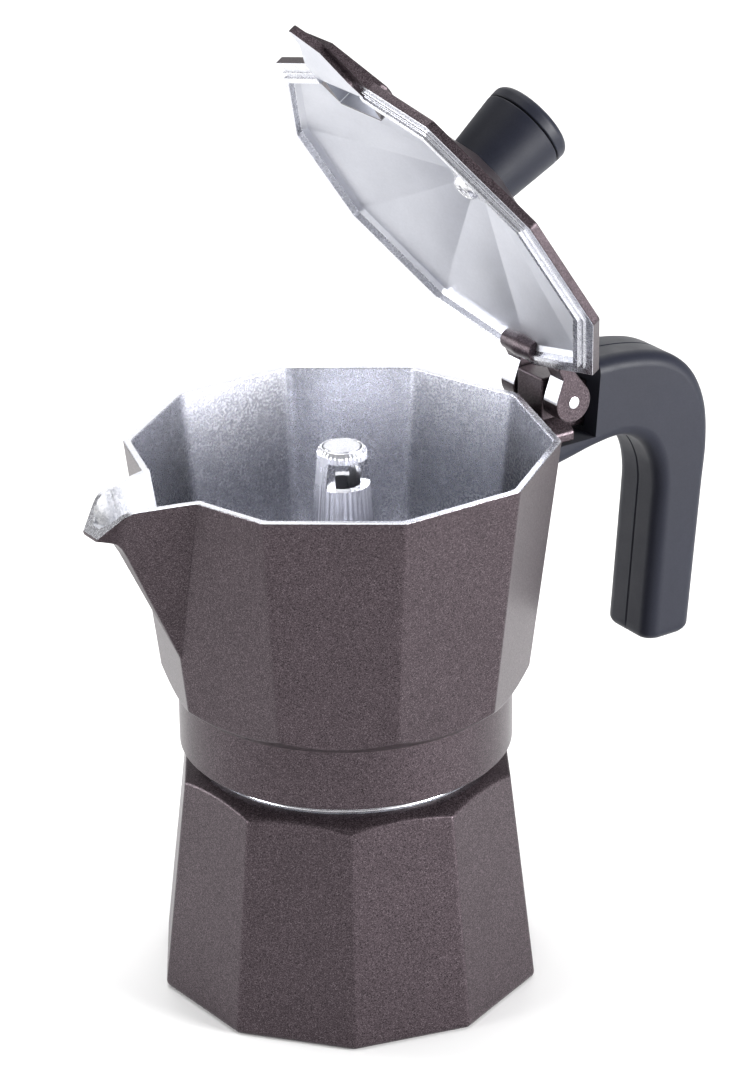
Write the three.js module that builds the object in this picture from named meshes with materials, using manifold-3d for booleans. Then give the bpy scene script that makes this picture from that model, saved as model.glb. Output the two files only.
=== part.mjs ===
// A stovetop moka pot: boiler with safety valve, funnel, gasket and filter plate, screw-on collector
// with spout and column, moulded handle, and a hinged lid with a knob.
// Millimetres, +Z up. The origin is the centre of the boiler's base; the handle points along +X and
// the spout along -X. The lid is stored open.
import * as THREE from 'three';
import { mergeVertices } from 'three/addons/utils/BufferGeometryUtils.js';
import Module from 'manifold-3d';

const wasm = await Module();
wasm.setup();

// ---- driving dimensions -------------------------------------------------------------------------

const FACETS = 10;
const ROUND = 64; // segments of a turned surface

// boiler
const BASE_R = 47.5; // corner radius of the decagon at the table
const SHOULDER_R = 41.1; // corner radius where the facets end
const SHOULDER_Z = 55;
const BOILER_TURN = 21.5; // how far round its thread the boiler stops, seen against the spout
const BASE_FILLET = 2.4;
const NECK_R = 35;
const NECK_FOOT_Z = 57.4;
const NECK_TOP_Z = 70;
const NECK_BORE_R = 31.3;
const BOILER_WALL = 3.4;

// screw thread between boiler and collector
const PITCH = 4;
const TURNS = 2;
const THREAD_BEAD_R = 0.9;
const THREAD_START_Z = 59.9;
const COLLAR_BORE_R = 36.3;

// collector
const COLLAR_R = 40.2;
const COLLAR_Z = 60.5;
const COLLAR_TOP_Z = 75.9;
const CUP_FOOT_R = 43.9; // corner radius of the facets, run down to the collar's top
const CUP_CUT_RISE = 0.805; // rise per radius of the turned cut at the facets' feet
const RIM_R = 51.5;
const RIM_Z = 137.35;
const CUP_WALL = 1.9;
const CUP_FLOOR_Z = 80.5;
const SEAT_Z = 74.7; // the gasket's seat under the collector

// spout: its lip is level as far as the bend, then falls to the nose
const LIP_ROOT = { x: -47.4, y: 12.3 };
const LIP_BEND = { x: -62.4, y: 7.65, z: 136.9 };
const NOSE = { x: -68.6, y: 3.5, z: 130.7 };
const KEEL_TOP = { x: -62, y: 2, z: 127.3 };
const KEEL_FOOT = { x: -46.4, z: 96.5 };

// column
const COLUMN_TOP_Z = 136;
const COLUMN_TOP_R = 5.85;
const COLUMN_FOOT_R = 10.2;
const COLUMN_BORE_R = 4.3;
const WINDOW = { low: 126.8, high: 133.4, depth: 2.4 };
const PLUG_THICK = 1.9;

// hinge
const HINGE_X = 59.4;
const HINGE_Z = 136.7;
const PIN_R = 1.5;
const KNUCKLE_HALF = 5;
const EAR_IN = 6;
const EAR_OUT = 11.3;
const EAR_R = 5.1;

// lug under the hinge, and the tongue that carries the handle
const LUG = { x: 62, half: 8.5, low: 125.4, high: 131.3 };
const TONGUE = { x: 81, half: 3.4, low: 126.5, high: 137.4 };

// handle
const HANDLE_HALF = 9;
const HANDLE_OUTER_R = 3.6;
const HANDLE_INNER_R = 5.6;
const HANDLE_FRONT_X = 68;
const FOOT_TOP_Z = 124.9;
const HANDLE_SCREW_X = 74;

// lid
const LID_OPEN_DEG = 55.8;
const LID_R = 51.8;
const LID_Z = RIM_Z + 0.3;
const LID_EDGE = 2.3; // thickness of the flange
const LIP_R = 49.1;
const ROOF_FOOT_R = 47.4;
const ROOF_TOP = { r: 12, z: 152.7 };
const CEILING = { r: 7.5, z: 150.3 };

// knob
const KNOB_Z = 153;
const KNOB_BASE_R = 9.3;
const KNOB_SEAM_R = 10.9;
const KNOB_SEAM_Z = 168.2;
const KNOB_TOP_Z = 173.2;

// funnel, gasket and filter plate
const FLANGE_R = 34;
const FUNNEL_CUP_R = 30;
const FUNNEL_CUP_FOOT_Z = 54.5;
const TUBE_R = 5.2;
const TUBE_FOOT_Z = 7;
const PLATE_R = 30;

// safety valve, set square to one boiler facet
const VALVE_DEG = BOILER_TURN + 54;
const VALVE_Z = 38;
const VALVE_BOSS = { r: 7.6, out: 42.4 };

// ---- materials ----------------------------------------------------------------------------------

const metal = ( color, roughness ) => new THREE.MeshStandardMaterial( { color, roughness, metalness: 1 } );
const plain = ( color, roughness ) => new THREE.MeshStandardMaterial( { color, roughness, metalness: 0 } );
const PAINT = new THREE.MeshStandardMaterial( { color: 0x5a5054, roughness: 0.45, metalness: 0.5 } );
const ALUMINIUM = metal( 0xc8cacd, 0.35 );
const STEEL = metal( 0xb8bbc0, 0.3 );
const BRASS = metal( 0xb08d4a, 0.35 );
const PLASTIC = plain( 0x2a2c33, 0.55 );
const RUBBER = plain( 0xe6e4dc, 0.7 );

// ---- helpers ------------------------------------------------------------------------------------

/** A closed geometry as a solid that can be added, subtracted and intersected. */
function solid( geometry ) {

	const bare = new THREE.BufferGeometry();
	bare.setAttribute( 'position', geometry.getAttribute( 'position' ) );
	bare.setIndex( geometry.index );
	const merged = mergeVertices( bare, 1e-4 );
	const corners = merged.index.array;
	const kept = [];
	for ( let i = 0; i < corners.length; i += 3 ) {

		const [ a, b, c ] = [ corners[ i ], corners[ i + 1 ], corners[ i + 2 ] ];
		if ( a !== b && b !== c && c !== a ) kept.push( a, b, c );

	}

	return new wasm.Manifold( new wasm.Mesh( {
		numProp: 3,
		vertProperties: merged.attributes.position.array,
		triVerts: new Uint32Array( kept )
	} ) );

}

/** A named mesh made from a solid. */
function part( name, made, material ) {

	const { vertProperties, triVerts } = made.getMesh();
	const geometry = new THREE.BufferGeometry();
	geometry.setAttribute( 'position', new THREE.BufferAttribute( vertProperties, 3 ) );
	geometry.setIndex( new THREE.BufferAttribute( triVerts, 1 ) );
	geometry.computeVertexNormals();
	const mesh = new THREE.Mesh( geometry, material );
	mesh.name = name;
	return mesh;

}

/** A solid turned about Z from [radius, height] points, anticlockwise, from axis to axis or in a loop. */
function turned( outline, segments = ROUND, turn = 0 ) {

	const points = outline.map( ( [ r, z ] ) => new THREE.Vector2( r, z ) );
	if ( outline[ 0 ][ 0 ] > 0 ) points.push( points[ 0 ].clone() );
	const start = THREE.MathUtils.degToRad( 90 + turn );
	return solid( new THREE.LatheGeometry( points, segments, start ).rotateX( Math.PI / 2 ) );

}

/** A ten-sided solid, with a corner on +X when turn is 0. */
const faceted = ( outline, turn = 0 ) => turned( outline, FACETS, turn );

/** A round bar along Z. */
const bar = ( r, low, high, segments = 32 ) =>
	turned( [ [ 0, low ], [ r, low ], [ r, high ], [ 0, high ] ], segments );

/** A round bar along Y through the lid's hinge axis. */
const hingeBar = ( r, half, segments = 24 ) =>
	bar( r, - half, half, segments ).rotate( [ 90, 0, 0 ] ).translate( [ HINGE_X, 0, HINGE_Z ] );

/** A box given by its low and high corners. */
function block( low, high ) {

	const size = high.map( ( v, i ) => v - low[ i ] );
	const box = new THREE.BoxGeometry( ...size );
	box.translate( ...low.map( ( v, i ) => v + size[ i ] / 2 ) );
	return solid( box );

}

/** A shape drawn in X and Z, given its thickness along Y. */
function slab( shape, yLow, yHigh, curveSegments = 12 ) {

	const settings = { depth: yHigh - yLow, bevelEnabled: false, curveSegments };
	const geometry = new THREE.ExtrudeGeometry( shape, settings );
	return solid( geometry.rotateX( Math.PI / 2 ).translate( 0, yHigh, 0 ) );

}

const polygon = ( corners ) => new THREE.Shape( corners.map( ( [ x, y ] ) => new THREE.Vector2( x, y ) ) );

/** A solid skinned over rings of points; every ring is convex and has the same number of points. */
function lofted( rings ) {

	const n = rings[ 0 ].length;
	const index = [];
	for ( let k = 0; k + 1 < rings.length; k ++ ) {

		for ( let i = 0; i < n; i ++ ) {

			const j = ( i + 1 ) % n;
			index.push( k * n + i, k * n + j, ( k + 1 ) * n + j, k * n + i, ( k + 1 ) * n + j, ( k + 1 ) * n + i );

		}

	}

	const last = ( rings.length - 1 ) * n;
	for ( let i = 1; i + 1 < n; i ++ ) index.push( 0, i + 1, i, last, last + i, last + i + 1 );
	const points = rings.flat().map( ( p ) => new THREE.Vector3( ...p ) );
	const geometry = new THREE.BufferGeometry().setFromPoints( points );
	geometry.setIndex( index );
	return solid( geometry );

}

/** A rod that follows a helix about Z, rising with the turns. */
function helix( radius, rodR, pitch, turns, startZ, { stepsPerTurn = 36, sides = 3 } = {} ) {

	class Helix extends THREE.Curve {

		getPoint( t, target = new THREE.Vector3() ) {

			const angle = 2 * Math.PI * turns * t;
			return target.set( radius * Math.cos( angle ), radius * Math.sin( angle ), startZ + pitch * turns * t );

		}

	}

	const section = new THREE.Shape().absarc( 0, 0, rodR, 0, 2 * Math.PI );
	return solid( new THREE.ExtrudeGeometry( section, {
		steps: Math.round( stepsPerTurn * turns ),
		extrudePath: new Helix(),
		curveSegments: sides
	} ) );

}

/** Moves geometry built on the Z axis so that +Z points out of the safety valve. */
function toValve( made ) {

	const outward = new THREE.Matrix4().makeRotationZ( THREE.MathUtils.degToRad( VALVE_DEG ) )
		.multiply( new THREE.Matrix4().makeRotationY( Math.PI / 2 ) ).setPosition( 0, 0, VALVE_Z );
	return made.transform( outward.elements );

}

/** Swings a solid drawn with the lid closed to the stored open lid. */
function toOpenLid( made ) {

	return made.translate( [ - HINGE_X, 0, - HINGE_Z ] ).rotate( [ 0, LID_OPEN_DEG, 0 ] )
		.translate( [ HINGE_X, 0, HINGE_Z ] );

}

/** Hexagonal holes along Z on circles, count holes for each [radius, count] pair. */
function ringHoles( rings, holeR, low, high ) {

	const hole = bar( holeR, low, high, 6 );
	const holes = rings.flatMap( ( [ r, count ] ) => Array.from( { length: count }, ( _, i ) => {

		const angle = 2 * Math.PI * i / count;
		return hole.translate( [ r * Math.cos( angle ), r * Math.sin( angle ), 0 ] );

	} ) );
	return holes.reduce( ( all, one ) => all.add( one ) );

}

// ---- boiler and its safety valve ----------------------------------------------------------------

function boiler() {

	const slope = ( BASE_R - SHOULDER_R ) / SHOULDER_Z;
	const rounding = [ 0, 0.29, 0.62, 1 ].map( ( t ) => {

		const angle = t * Math.PI / 2;
		return [ BASE_R - BASE_FILLET * ( 1 - Math.sin( angle ) ), BASE_FILLET * ( 1 - Math.cos( angle ) ) ];

	} );
	const casting = faceted( [
		[ 0, 0 ], ...rounding, [ BASE_R - slope * NECK_FOOT_Z, NECK_FOOT_Z ], [ 0, NECK_FOOT_Z ]
	], BOILER_TURN ).intersect( turned( [
		[ 0, - 1 ], [ BASE_R + 1, - 1 ], [ BASE_R + 1, SHOULDER_Z - 3.1 ], [ SHOULDER_R, SHOULDER_Z ],
		[ SHOULDER_R - 4.4, NECK_FOOT_Z ], [ 0, NECK_FOOT_Z ]
	], 96 ) );
	const neck = turned( [ [ 0, NECK_FOOT_Z - 1 ], [ NECK_R, NECK_FOOT_Z - 1 ], [ NECK_R, NECK_TOP_Z - 0.6 ],
		[ NECK_R - 0.6, NECK_TOP_Z ], [ 0, NECK_TOP_Z ] ] );
	const boss = toValve( bar( VALVE_BOSS.r, 36, VALVE_BOSS.out ) );
	const flat = Math.cos( Math.PI / FACETS ); // corner radius to facet radius
	const inside = turned( [
		[ 0, BOILER_WALL ], [ BASE_R * flat - BOILER_WALL - 3, BOILER_WALL ],
		[ BASE_R * flat - BOILER_WALL, BOILER_WALL + 3 ],
		[ SHOULDER_R * flat - BOILER_WALL, SHOULDER_Z - 4 ], [ NECK_BORE_R, NECK_FOOT_Z ],
		[ NECK_BORE_R, NECK_TOP_Z + 1 ], [ 0, NECK_TOP_Z + 1 ]
	] );
	return casting.add( neck ).add( boss )
		.add( helix( NECK_R, THREAD_BEAD_R, PITCH, TURNS, THREAD_START_Z ) )
		.subtract( inside )
		.subtract( toValve( bar( 4.3, 30, 50 ) ) );

}

function valveBody() {

	const hex = turned( [ [ 0, 42.9 ], [ 6.9, 42.9 ], [ 6.9, 46.2 ], [ 6.2, 46.8 ], [ 0, 46.8 ] ], 6 );
	const shell = hex.add( turned( [
		[ 0, 32.4 ], [ 3.7, 32.4 ], [ 4, 32.8 ], [ 4, 43 ], [ 4.6, 43 ], [ 4.6, 48.4 ], [ 4.1, 48.9 ], [ 0, 48.9 ]
	], 32 ) );
	const bore = turned( [ [ 0, 31 ], [ 1.6, 31 ], [ 1.6, 35 ], [ 2.9, 35.6 ], [ 2.9, 50 ], [ 0, 50 ] ], 24 );
	return toValve( shell.subtract( bore ) );

}

const ring = ( inner, outer, low, high, segments = 32 ) =>
	turned( [ [ inner, low ], [ outer, low ], [ outer, high ], [ inner, high ] ], segments );

const valveNut = () => toValve(
	turned( [ [ 0, 32.6 ], [ 6.4, 32.6 ], [ 6.4, 35 ], [ 0, 35 ] ], 6 ).subtract( bar( 4.25, 32, 36 ) ) );

const valvePlunger = () => toValve( turned( [
	[ 0, 35.9 ], [ 1.5, 35.9 ], [ 2.5, 36.7 ], [ 2.5, 38.1 ], [ 1, 38.1 ],
	[ 1, 49.3 ], [ 0.7, 49.7 ], [ 0, 49.7 ]
], 24 ) );

const valveSpring = () => toValve( helix( 1.9, 0.32, 1.35, 6, 38.9, { stepsPerTurn: 12, sides: 3 } ) );

// ---- funnel, gasket and filter plate ------------------------------------------------------------

function funnelCup() {

	const wall = 0.8;
	const foot = FUNNEL_CUP_FOOT_Z;
	const socket = TUBE_R + 0.2;
	return turned( [
		[ socket, 45 ], [ socket + wall, 45 ], [ socket + wall, 50 ], [ FUNNEL_CUP_R - 1, foot - 0.6 ],
		[ FUNNEL_CUP_R, foot + 0.4 ], [ FUNNEL_CUP_R + 0.5, NECK_TOP_Z + 0.3 ],
		[ FLANGE_R, NECK_TOP_Z + 0.3 ], [ FLANGE_R, NECK_TOP_Z + 1.1 ], [ FUNNEL_CUP_R - 0.3, NECK_TOP_Z + 1.1 ],
		[ FUNNEL_CUP_R - wall, foot + 0.6 ], [ socket, 51 ]
	] );

}

const funnelStrainer = () => bar( FUNNEL_CUP_R - 1.3, FUNNEL_CUP_FOOT_Z + 1.2, FUNNEL_CUP_FOOT_Z + 1.9, 48 )
	.subtract( ringHoles( [ [ 8, 6 ], [ 16, 12 ], [ 24, 18 ] ], 1, 50, 60 ) );

const filterPlate = () => turned( [
	[ 0, SEAT_Z + 0.3 ], [ PLATE_R, SEAT_Z + 0.3 ], [ PLATE_R, SEAT_Z + 0.9 ], [ 0, SEAT_Z + 0.9 ]
], 48 ).subtract( ringHoles( [ [ 7, 6 ], [ 14, 12 ], [ 20.5, 18 ] ], 0.9, SEAT_Z, SEAT_Z + 2 ) );

// ---- collector ----------------------------------------------------------------------------------

/** One cross-section of the spout: level top corners and a narrower keel. */
const spoutRing = ( x, topY, topZ, keelY, keelZ ) => [
	[ x, topY, topZ ], [ x, - topY, topZ ], [ x, - keelY, keelZ ], [ x, keelY, keelZ ]
];

function spoutOutside() {

	return lofted( [
		spoutRing( - 36, LIP_ROOT.y, RIM_Z, 0.4, KEEL_FOOT.z - 6 ),
		spoutRing( KEEL_FOOT.x, LIP_ROOT.y + 0.3, RIM_Z, 0.2, KEEL_FOOT.z ),
		spoutRing( - 51, LIP_ROOT.y - 1.1, RIM_Z, 0.8, 104 ),
		spoutRing( KEEL_TOP.x, LIP_BEND.y, LIP_BEND.z, KEEL_TOP.y, KEEL_TOP.z ),
		spoutRing( NOSE.x, NOSE.y, NOSE.z, NOSE.y - 0.6, NOSE.z - 0.7 )
	].map( ( ring_ ) => ring_.toReversed() ) );

}

function spoutChannel() {

	const above = RIM_Z + 4;
	return lofted( [
		spoutRing( - 36, LIP_ROOT.y - 1.9, above, 0.5, KEEL_FOOT.z - 3 ),
		spoutRing( KEEL_FOOT.x + 2.3, LIP_ROOT.y - 1.7, above, 0.3, KEEL_FOOT.z + 1 ),
		spoutRing( KEEL_TOP.x + 1.6, LIP_BEND.y - 1.6, above, 1.1, KEEL_TOP.z + 2.3 ),
		spoutRing( NOSE.x + 0.8, NOSE.y - 1.5, above, 1.7, NOSE.z + 2.1 )
	].map( ( ring_ ) => ring_.toReversed() ) );

}

/** The lug that grows out of the rim under the hinge, with the knuckle above it and the tongue behind. */
function hingeLug() {

	const { x, half, low, high } = LUG;
	const body = new THREE.ExtrudeGeometry( polygon( [
		[ - half, low ], [ half, low ], [ half, low + 2.4 ], [ KNUCKLE_HALF, high ], [ - KNUCKLE_HALF, high ],
		[ - half, low + 2.4 ]
	] ), { depth: x - 44, bevelEnabled: false } ).applyMatrix4(
		new THREE.Matrix4().makeBasis( new THREE.Vector3( 0, 1, 0 ), new THREE.Vector3( 0, 0, 1 ),
			new THREE.Vector3( 1, 0, 0 ) ) ).translate( 44, 0, 0 );
	const front = HINGE_X - 4.8;
	const top = HINGE_Z + 5.1;
	const cheek = new THREE.Shape().moveTo( front, high - 1 ).lineTo( HINGE_X + 3.6, high - 1 )
		.lineTo( HINGE_X + 5.1, HINGE_Z ).absarc( HINGE_X, HINGE_Z, 5.1, 0, Math.PI / 2 )
		.lineTo( front + 0.5, top ).lineTo( front, top - 0.5 );
	const knuckle = slab( cheek, - KNUCKLE_HALF, KNUCKLE_HALF, 8 );
	const tongue = block( [ x - 2, - TONGUE.half, TONGUE.low ], [ TONGUE.x, TONGUE.half, TONGUE.high - 3 ] )
		.add( slab( polygon( [ [ x - 2, high - 1 ], [ TONGUE.x, high ], [ TONGUE.x, TONGUE.high - 1 ],
			[ TONGUE.x - 1, TONGUE.high ], [ HINGE_X + 6, TONGUE.high ], [ x - 2, HINGE_Z - 3 ] ] ),
		- TONGUE.half, TONGUE.half ) );
	return solid( body ).add( knuckle ).add( tongue );

}

function collector() {

	const rise = RIM_Z - COLLAR_TOP_Z;
	const cup = faceted( [
		[ 0, COLLAR_TOP_Z ], [ CUP_FOOT_R, COLLAR_TOP_Z ], [ RIM_R, RIM_Z ], [ 0, RIM_Z ]
	] ).intersect( turned( [
		[ 0, COLLAR_TOP_Z ], [ COLLAR_R, COLLAR_TOP_Z ],
		[ COLLAR_R + 16 / CUP_CUT_RISE, COLLAR_TOP_Z + 16 ], [ COLLAR_R + 20, RIM_Z + 1 ], [ 0, RIM_Z + 1 ]
	], 96 ) );
	const collar = turned( [ [ 0, COLLAR_Z ], [ COLLAR_R - 0.4, COLLAR_Z ], [ COLLAR_R, COLLAR_Z + 0.4 ],
		[ COLLAR_R, COLLAR_TOP_Z ], [ COLLAR_R - 0.6, COLLAR_TOP_Z + 0.6 ], [ 0, COLLAR_TOP_Z + 0.6 ] ], 96 );
	const floorR = CUP_FOOT_R + ( RIM_R - CUP_FOOT_R ) * ( CUP_FLOOR_Z - COLLAR_TOP_Z ) / rise - CUP_WALL;
	const slope = ( RIM_R - CUP_FOOT_R ) / rise;
	const hollow = faceted( [
		[ 0, CUP_FLOOR_Z ], [ floorR - 2.2, CUP_FLOOR_Z ], [ floorR + slope * 2, CUP_FLOOR_Z + 2 ],
		[ RIM_R - CUP_WALL + slope, RIM_Z + 1 ], [ 0, RIM_Z + 1 ]
	] );
	const bore = turned( [
		[ 0, COLLAR_Z - 1 ], [ COLLAR_BORE_R, COLLAR_Z - 1 ], [ COLLAR_BORE_R, SEAT_Z ],
		[ PLATE_R + 0.5, SEAT_Z ], [ PLATE_R + 0.5, SEAT_Z + 1.2 ], [ 22, SEAT_Z + 1.2 ],
		[ COLUMN_BORE_R, SEAT_Z + 3.8 ],
		[ COLUMN_BORE_R, CUP_FLOOR_Z + 1 ], [ 0, CUP_FLOOR_Z + 1 ]
	] );
	const thread = helix( COLLAR_BORE_R, THREAD_BEAD_R, PITCH, TURNS, THREAD_START_Z + PITCH / 2 );
	const screwHole = bar( 2.05, 120, 135.4, 20 ).translate( [ HANDLE_SCREW_X, 0, 0 ] );
	return cup.add( collar ).add( spoutOutside() ).add( hingeLug() )
		.subtract( hollow ).subtract( spoutChannel() ).subtract( bore ).add( thread )
		.subtract( hingeBar( PIN_R + 0.03, 14 ) ).subtract( screwHole );

}

/** The hollow column that stands on the collector's floor, with a window on each side below its plug. */
function column() {

	const foot = CUP_FLOOR_Z + 0.05;
	const recess = COLUMN_BORE_R + 0.4;
	const recessZ = COLUMN_TOP_Z - PLUG_THICK - 0.3;
	const outside = turned( [
		[ 0, foot ], [ COLUMN_FOOT_R + 2, foot ], [ COLUMN_FOOT_R, foot + 2 ],
		[ COLUMN_TOP_R, COLUMN_TOP_Z - 1.1 ], [ COLUMN_TOP_R - 0.8, COLUMN_TOP_Z ], [ 0, COLUMN_TOP_Z ]
	], 40 );
	const bore = turned( [
		[ 0, foot - 1 ], [ COLUMN_BORE_R, foot - 1 ], [ COLUMN_BORE_R, recessZ ],
		[ recess, recessZ ], [ recess, COLUMN_TOP_Z + 1 ], [ 0, COLUMN_TOP_Z + 1 ]
	] );
	const { low, high, depth } = WINDOW;
	return outside.subtract( bore )
		.subtract( block( [ - 12, depth, low ], [ 12, 14, high ] ) )
		.subtract( block( [ - 12, - 14, low ], [ 12, - depth, high ] ) );

}

const columnPlug = () => turned( [
	[ 0, COLUMN_TOP_Z - PLUG_THICK ], [ COLUMN_BORE_R + 0.15, COLUMN_TOP_Z - PLUG_THICK ],
	[ COLUMN_BORE_R + 0.15, COLUMN_TOP_Z ], [ COLUMN_BORE_R - 0.1, COLUMN_TOP_Z + 0.15 ],
	[ 0, COLUMN_TOP_Z + 0.15 ]
], 40 );

const hingePin = () => hingeBar( PIN_R, EAR_OUT + 0.3 );

// ---- handle -------------------------------------------------------------------------------------

/** A rounded rectangle between an inner and an outer point of the handle's side view, as one ring. */
function gripRing( inner, outer, half, inset = 0 ) {

	const [ dx, dz ] = [ outer.x - inner.x, outer.y - inner.y ];
	const thick = Math.hypot( dx, dz );
	const at = ( y, t ) => [ inner.x + dx * t / thick, y, inner.y + dz * t / thick ];
	const [ low, high, side ] = [ inset, thick - inset, half - inset ];
	const corners = [
		{ y: - 1, r: HANDLE_INNER_R, t: low, from: 180 }, { y: 1, r: HANDLE_INNER_R, t: low, from: 270 },
		{ y: 1, r: HANDLE_OUTER_R, t: high, from: 0 }, { y: - 1, r: HANDLE_OUTER_R, t: high, from: 90 }
	];
	return corners.flatMap( ( { y, r, t, from } ) => [ 0, 22.5, 45, 67.5, 90 ].map( ( step ) => {

		const angle = THREE.MathUtils.degToRad( from + step );
		const centre = t === low ? low + r : high - r;
		return at( y * ( side - r ) + r * Math.cos( angle ), centre + r * Math.sin( angle ) );

	} ) );

}

function handle() {

	const curve = ( points ) =>
		new THREE.SplineCurve( points.map( ( [ x, z ] ) => new THREE.Vector2( x, z ) ) );
	const outerLine = curve( [ [ 42, 144.4 ], [ 62, 144.2 ], [ 78, 143.9 ], [ 90.5, 141.3 ], [ 98.8, 135.4 ],
		[ 103.2, 126.5 ], [ 104.2, 116 ], [ 103.2, 104 ], [ 101.5, 86 ], [ 99.7, 67 ] ] );
	const innerLine = curve( [ [ 42, 116.4 ], [ 58.6, 119.4 ], [ 69, 121.7 ], [ 77, 122.3 ], [ 83.6, 119.4 ],
		[ 87.2, 113.6 ], [ 88.4, 107 ], [ 88, 100 ], [ 86.7, 84 ], [ 85.3, 67 ] ] );
	const stations = 30;
	const rings = Array.from( { length: stations + 1 }, ( _, i ) =>
		gripRing( innerLine.getPoint( i / stations ), outerLine.getPoint( i / stations ), HANDLE_HALF ) );
	const [ inner, outer ] = [ innerLine.getPoint( 1 ), outerLine.getPoint( 1 ) ];
	for ( const [ drop, inset ] of [ [ 1.1, 0.3 ], [ 2, 1.1 ], [ 2.5, 2.3 ] ] ) {

		const down = new THREE.Vector2( - 0.1, - 1 ).multiplyScalar( drop );
		rings.push( gripRing( inner.clone().add( down ), outer.clone().add( down ), HANDLE_HALF, inset ) );

	}

	const front = slab( polygon( [
		[ 40, FOOT_TOP_Z ], [ HANDLE_FRONT_X, FOOT_TOP_Z ], [ HANDLE_FRONT_X + 2, 150 ], [ 40, 150 ]
	] ), - 20, 20 );
	const gap = 0.35;
	const cup = faceted( [
		[ 0, COLLAR_TOP_Z ], [ CUP_FOOT_R + gap, COLLAR_TOP_Z ], [ RIM_R + gap, RIM_Z ], [ 0, RIM_Z ]
	] );
	const socket = block( [ 60, - TONGUE.half - 0.4, TONGUE.low - 0.4 ],
		[ TONGUE.x + 0.6, TONGUE.half + 0.4, TONGUE.high + 0.5 ] );
	const screwWay = bar( 2.1, 118, 128, 20 ).add( bar( 4, 112, 124.3 ) )
		.translate( [ HANDLE_SCREW_X, 0, 0 ] );
	return lofted( rings ).subtract( front ).subtract( cup ).subtract( socket ).subtract( screwWay );

}

/** A pan-head screw on the Z axis, head down, with a cross recess. */
function crossScrew( headR, headHigh, shankR, length ) {

	const screw = turned( [
		[ 0, 0 ], [ headR - 0.8, 0 ], [ headR, 0.9 ], [ headR, headHigh ], [ shankR, headHigh ],
		[ shankR, length - 0.6 ], [ shankR - 0.6, length ], [ 0, length ]
	], 28 );
	const arm = headR * 0.55;
	return screw.subtract( block( [ - arm, - 0.45, - 1 ], [ arm, 0.45, 1.1 ] ) )
		.subtract( block( [ - 0.45, - arm, - 1 ], [ 0.45, arm, 1.1 ] ) );

}

const handleScrew = () => crossScrew( 3.5, 2.2, 1.75, 12.6 ).translate( [ HANDLE_SCREW_X, 0, 121.8 ] );

// ---- lid and knob -------------------------------------------------------------------------------

/** One rectangular cross-section of the spout cover. */
const hoodRing = ( x, y, low, high ) =>
	[ [ x, y, low ], [ x, - y, low ], [ x, - y, high ], [ x, y, high ] ];

/** The raised cover over the spout. */
const lidHood = () => lofted( [
	hoodRing( - 36, 8, LID_Z, 143.4 ),
	hoodRing( - 44.8, 13.6, LID_Z, 141.7 ),
	hoodRing( - 58.4, 6, LID_Z, 139.4 )
] );

/** The pointed tongue in front of the cover, which dips into the spout's channel. */
const lidTongue = () => lofted( [
	hoodRing( - 57.1, 4.6, 136, 138.3 ),
	hoodRing( - 65, 0.5, 134.5, 136.5 )
] );

/** The hollow under the spout cover. */
const hoodHollow = () => lofted( [
	hoodRing( - 38, 7.6, LID_Z - 3, 141.4 ),
	hoodRing( - 45.6, 11.2, LID_Z - 3, 140 ),
	hoodRing( - 57, 4.8, LID_Z - 3, 138.1 )
] );

function lidEar( side ) {

	const outline = new THREE.Shape().moveTo( 46, LID_Z + 0.4 ).lineTo( 52.4, LID_Z )
		.lineTo( HINGE_X - EAR_R * 0.85, HINGE_Z - EAR_R * 0.53 )
		.absarc( HINGE_X, HINGE_Z, EAR_R, Math.PI * 1.17, Math.PI * 2.52 )
		.lineTo( 50, HINGE_Z + 4.6 ).lineTo( 46, 141.2 );
	const [ low, high ] = side > 0 ? [ EAR_IN, EAR_OUT ] : [ - EAR_OUT, - EAR_IN ];
	return slab( outline, low, high, 20 );

}

function lid() {

	const edge = LID_Z + LID_EDGE;
	const shell = faceted( [
		[ 0, LID_Z - 1.3 ], [ 48, LID_Z - 1.3 ], [ 48, LID_Z - 0.5 ], [ LIP_R, LID_Z - 0.5 ], [ LIP_R, LID_Z ],
		[ LID_R, LID_Z ], [ LID_R, edge - 0.3 ], [ LID_R - 0.3, edge ], [ ROOF_FOOT_R, edge ],
		[ ROOF_TOP.r, ROOF_TOP.z ], [ 0, ROOF_TOP.z ]
	] );
	const hollow = faceted( [
		[ 0, LID_Z - 3 ], [ 46.3, LID_Z - 3 ], [ 46.3, LID_Z + 0.3 ], [ 45.2, LID_Z + 1.5 ],
		[ CEILING.r, CEILING.z ], [ 0, CEILING.z ]
	] );
	const bridge = bar( 2.9, - 5.6, 5.6, 20 ).rotate( [ 90, 0, 0 ] ).translate( [ 44.8, 0, LID_Z + 0.6 ] );
	const notch = hingeBar( 7.45, EAR_IN - 0.15, 40 ); // clears the knuckle
	const screwHole = bar( 2.3, 140, 160, 20 );
	return toOpenLid( shell.add( lidHood() ).subtract( hollow ).subtract( hoodHollow() )
		.add( lidTongue() ).add( bridge )
		.add( lidEar( 1 ) ).add( lidEar( - 1 ) ).subtract( notch )
		.subtract( hingeBar( PIN_R + 0.07, 14 ) ).subtract( screwHole ) );

}

function knob() {

	const body = turned( [ [ 0, KNOB_Z ], [ KNOB_BASE_R - 0.4, KNOB_Z ], [ KNOB_BASE_R, KNOB_Z + 0.5 ],
		[ KNOB_SEAM_R, KNOB_SEAM_Z - 0.3 ], [ KNOB_SEAM_R - 0.3, KNOB_SEAM_Z ], [ 0, KNOB_SEAM_Z ] ], 48 );
	return toOpenLid( body.subtract( bar( 7.8, KNOB_SEAM_Z - 3, KNOB_SEAM_Z + 1, 40 ) )
		.subtract( bar( 3.5, KNOB_Z - 1, KNOB_Z + 9, 24 ) ) );

}

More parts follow.
